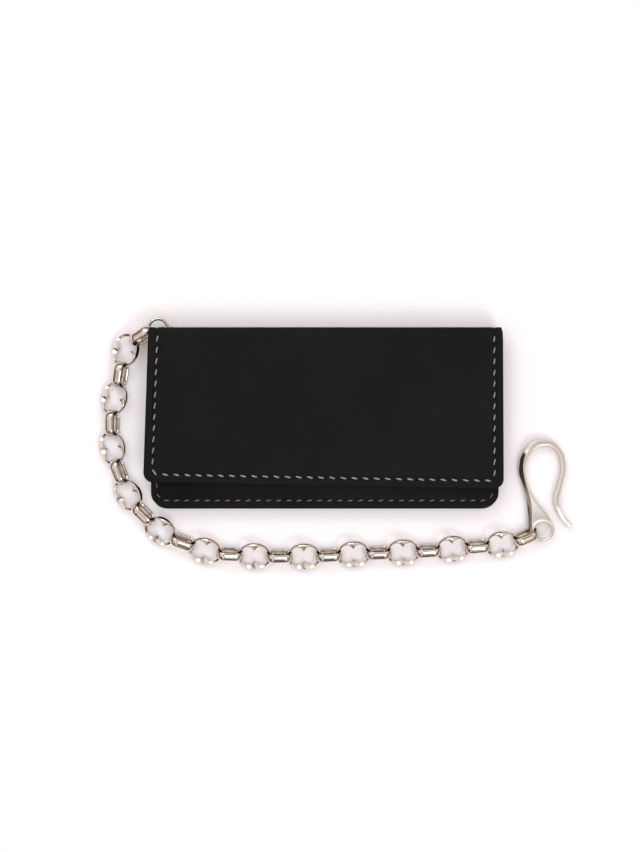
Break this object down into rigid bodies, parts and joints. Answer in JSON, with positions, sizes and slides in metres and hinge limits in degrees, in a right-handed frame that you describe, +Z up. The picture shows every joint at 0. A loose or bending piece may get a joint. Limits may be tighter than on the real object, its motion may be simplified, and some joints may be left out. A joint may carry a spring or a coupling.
{
  "type": "chain wallet",
  "caption": "Long folding leather wallet with a flap, a zipped coin pocket and card slots, and a silver link chain that ends in an open belt hook.",
  "frame": {"origin": "middle of the wallet's back face, on the surface it lies on", "axes": "+X along the fold towards the hook, +Y from the mouth to the fold, +Z up through the closed wallet"},
  "size_m": [0.2588, 0.1377, 0.0201],
  "materials": {
    "black_leather": "smooth matte black saddle leather",
    "lining_leather": "thin black lining leather",
    "seam_thread": "waxed grey twisted thread",
    "zip_tape": "black woven zip tape",
    "zip_metal": "nickel-plated cast zip metal",
    "eyelet_nickel": "nickel-plated rolled sheet",
    "polished_silver": "polished silver, slightly warm"
  },
  "bodies": {
    "wallet_body": {"cover_back": "black_leather", "bill_gusset": "lining_leather", "coin_pocket_back": "lining_leather", "coin_gusset": "lining_leather", "body_front_panel": "black_leather", "zip_facing": "black_leather", "zip_tape_upper": "zip_tape", "zip_tape_lower": "zip_tape", "zip_teeth_upper": "zip_metal", "zip_teeth_lower": "zip_metal", "zip_stops": "zip_metal", "body_seam_thread": "seam_thread"},
    "spine": {"cover_spine": "black_leather", "spine_eyelet": "eyelet_nickel", "eyelet_washer": "eyelet_nickel"},
    "flap": {"cover_flap": "black_leather", "flap_lining": "lining_leather", "card_slot_1": "lining_leather", "card_slot_2": "lining_leather", "card_slot_3": "lining_leather", "card_slot_4": "lining_leather", "card_slot_5": "lining_leather", "card_slot_6": "lining_leather", "flap_seam_thread": "seam_thread"},
    "zip_slider": {"zip_slider": "zip_metal"},
    "zip_pull": {"zip_pull": "zip_metal"},
    "ring": {"wallet_ring": "polished_silver"},
    "band_link_01": {"band_link_01": "polished_silver"},
    "flat_link_01": {"flat_link_01": "polished_silver"},
    "band_link_02": {"band_link_02": "polished_silver"},
    "flat_link_02": {"flat_link_02": "polished_silver"},
    "band_link_03": {"band_link_03": "polished_silver"},
    "flat_link_03": {"flat_link_03": "polished_silver"},
    "band_link_04": {"band_link_04": "polished_silver"},
    "flat_link_04": {"flat_link_04": "polished_silver"},
    "band_link_05": {"band_link_05": "polished_silver"},
    "flat_link_05": {"flat_link_05": "polished_silver"},
    "band_link_06": {"band_link_06": "polished_silver"},
    "flat_link_06": {"flat_link_06": "polished_silver"},
    "band_link_07": {"band_link_07": "polished_silver"},
    "flat_link_07": {"flat_link_07": "polished_silver"},
    "band_link_08": {"band_link_08": "polished_silver"},
    "flat_link_08": {"flat_link_08": "polished_silver"},
    "band_link_09": {"band_link_09": "polished_silver"},
    "flat_link_09": {"flat_link_09": "polished_silver"},
    "band_link_10": {"band_link_10": "polished_silver"},
    "flat_link_10": {"flat_link_10": "polished_silver"},
    "band_link_11": {"band_link_11": "polished_silver"},
    "flat_link_11": {"flat_link_11": "polished_silver"},
    "band_link_12": {"band_link_12": "polished_silver"},
    "flat_link_12": {"flat_link_12": "polished_silver"},
    "band_link_13": {"band_link_13": "polished_silver"},
    "belt_hook": {"belt_hook": "polished_silver"}
  },
  "joints": [
    {"name": "spine_fold", "type": "hinge", "parent": "wallet_body", "child": "spine", "pos_m": [0, 0.04825, 0.001], "axis": [-1, 0, 0], "range_deg": [0, 90]},
    {"name": "flap_fold", "type": "hinge", "parent": "spine", "child": "flap", "pos_m": [0, 0.04825, 0.019], "axis": [-1, 0, 0], "range_deg": [0, 90]},
    {"name": "zip_travel", "type": "slide", "parent": "wallet_body", "child": "zip_slider", "axis": [-1, 0, 0], "range_m": [0, 0.128]},
    {"name": "pull_lift", "type": "hinge", "parent": "zip_slider", "child": "zip_pull", "pos_m": [0.0648, 0.024, 0.01295], "axis": [0, 1, 0], "range_deg": [0, 5]},
    {"name": "ring_swing", "type": "hinge", "parent": "spine", "child": "ring", "pos_m": [-0.0904, 0.04825, 0.01], "axis": [1, 0, 0], "range_deg": [-20, 20]},
    {"name": "ring_slip", "type": "hinge", "parent": "ring", "child": "band_link_01", "pos_m": [-0.0904, 0.0491, 0.01], "axis": [0, 0, 1], "range_deg": [-25, 1]},
    {"name": "bend_01", "type": "hinge", "parent": "band_link_01", "child": "flat_link_01", "pos_m": [-0.10149, 0.04383, 0.0078], "axis": [0.3555, -0.8798, 0.3155], "range_deg": [-15, 6]},
    {"name": "turn_01", "type": "hinge", "parent": "flat_link_01", "child": "band_link_02", "pos_m": [-0.10929, 0.03399, 0.00601], "axis": [-0.3301, 0.0908, 0.9396], "range_deg": [-30, 2]},
    {"name": "bend_02", "type": "hinge", "parent": "band_link_02", "child": "flat_link_02", "pos_m": [-0.11209, 0.02143, 0.00485], "axis": [-0.9129, 0.2341, -0.3343], "range_deg": [-8, 15]},
    {"name": "turn_02", "type": "hinge", "parent": "flat_link_02", "child": "band_link_03", "pos_m": [-0.11555, 0.00777, 0.00486], "axis": [0.3314, -0.0847, -0.9397], "range_deg": [-2, 30]},
    {"name": "bend_03", "type": "hinge", "parent": "band_link_03", "child": "flat_link_03", "pos_m": [-0.11617, -0.00518, 0.00485], "axis": [0.939, -0.0454, 0.3408], "range_deg": [-15, 15]},
    {"name": "turn_03", "type": "hinge", "parent": "flat_link_03", "child": "band_link_04", "pos_m": [-0.11507, -0.0191, 0.00524], "axis": [-0.3493, -0.0016, 0.937], "range_deg": [-30, 3]},
    {"name": "bend_04", "type": "hinge", "parent": "band_link_04", "child": "flat_link_04", "pos_m": [-0.11135, -0.03141, 0.00485], "axis": [-0.9045, -0.2624, -0.3362], "range_deg": [-15, 15]},
    {"name": "turn_04", "type": "hinge", "parent": "flat_link_04", "child": "band_link_05", "pos_m": [-0.10547, -0.04402, 0.00529], "axis": [0.3304, 0.1217, -0.9359], "range_deg": [-3, 30]},
    {"name": "bend_05", "type": "hinge", "parent": "band_link_05", "child": "flat_link_05", "pos_m": [-0.09721, -0.0538, 0.00485], "axis": [0.7274, 0.5994, 0.3339], "range_deg": [-15, 15]},
    {"name": "turn_05", "type": "hinge", "parent": "flat_link_05", "child": "band_link_06", "pos_m": [-0.08665, -0.06276, 0.00531], "axis": [-0.2525, -0.2492, 0.935], "range_deg": [-30, 3]},
    {"name": "bend_06", "type": "hinge", "parent": "band_link_06", "child": "flat_link_06", "pos_m": [-0.07506, -0.06816, 0.00485], "axis": [-0.4087, -0.8497, -0.3332], "range_deg": [-15, 15]},
    {"name": "turn_06", "type": "hinge", "parent": "flat_link_06", "child": "band_link_07", "pos_m": [-0.06181, -0.07258, 0.00524], "axis": [0.1352, 0.3221, -0.937], "range_deg": [-3, 30]},
    {"name": "bend_07", "type": "hinge", "parent": "band_link_07", "child": "flat_link_07", "pos_m": [-0.04903, -0.07397, 0.00485], "axis": [0.1123, 0.9351, 0.3361], "range_deg": [-15, 15]},
    {"name": "turn_07", "type": "hinge", "parent": "flat_link_07", "child": "band_link_08", "pos_m": [-0.03499, -0.0747, 0.00509], "axis": [-0.0338, -0.3427, 0.9389], "range_deg": [-30, 3]},
    {"name": "bend_08", "type": "hinge", "parent": "band_link_08", "child": "flat_link_08", "pos_m": [-0.02201, -0.07495, 0.00485], "axis": [-0.0245, -0.9397, -0.3411], "range_deg": [-15, 15]},
    {"name": "turn_08", "type": "hinge", "parent": "flat_link_08", "child": "band_link_09", "pos_m": [-0.00792, -0.07478, 0.00499], "axis": [0.005, 0.3428, -0.9394], "range_deg": [-3, 30]},
    {"name": "bend_09", "type": "hinge", "parent": "band_link_09", "child": "flat_link_09", "pos_m": [0.00506, -0.07426, 0.00485], "axis": [-0.0338, 0.9392, 0.3417], "range_deg": [-15, 15]},
    {"name": "turn_09", "type": "hinge", "parent": "flat_link_09", "child": "band_link_10", "pos_m": [0.01914, -0.07352, 0.00491], "axis": [0.0139, -0.3419, 0.9396], "range_deg": [-30, 3]},
    {"name": "bend_10", "type": "hinge", "parent": "band_link_10", "child": "flat_link_10", "pos_m": [0.03213, -0.07308, 0.00485], "axis": [0.0303, -0.9392, -0.342], "range_deg": [-15, 15]},
    {"name": "turn_10", "type": "hinge", "parent": "flat_link_10", "child": "band_link_11", "pos_m": [0.04622, -0.07261, 0.00485], "axis": [-0.0112, 0.3418, -0.9397], "range_deg": [-3, 30]},
    {"name": "bend_11", "type": "hinge", "parent": "band_link_11", "child": "flat_link_11", "pos_m": [0.05919, -0.07176, 0.00485], "axis": [-0.0608, 0.9377, 0.342], "range_deg": [-15, 15]},
    {"name": "turn_11", "type": "hinge", "parent": "flat_link_11", "child": "band_link_12", "pos_m": [0.07322, -0.07046, 0.00495], "axis": [0.025, -0.3415, 0.9395], "range_deg": [-30, 3]},
    {"name": "bend_12", "type": "hinge", "parent": "band_link_12", "child": "flat_link_12", "pos_m": [0.08618, -0.06938, 0.00485], "axis": [0.0748, -0.9367, -0.3419], "range_deg": [-15, 15]},
    {"name": "turn_12", "type": "hinge", "parent": "flat_link_12", "child": "band_link_13", "pos_m": [0.10019, -0.06785, 0.00496], "axis": [-0.0302, 0.3411, -0.9395], "range_deg": [-3, 30]},
    {"name": "bend_13", "type": "hinge", "parent": "band_link_13", "child": "belt_hook", "pos_m": [0.11229, -0.06332, 0.00485], "axis": [-0.327, 0.882, 0.3392], "range_deg": [-15, 15]}
  ],
  "couplings": [
    {"joint": "flap_fold", "follows": "spine_fold", "ratio": 1}
  ]
}
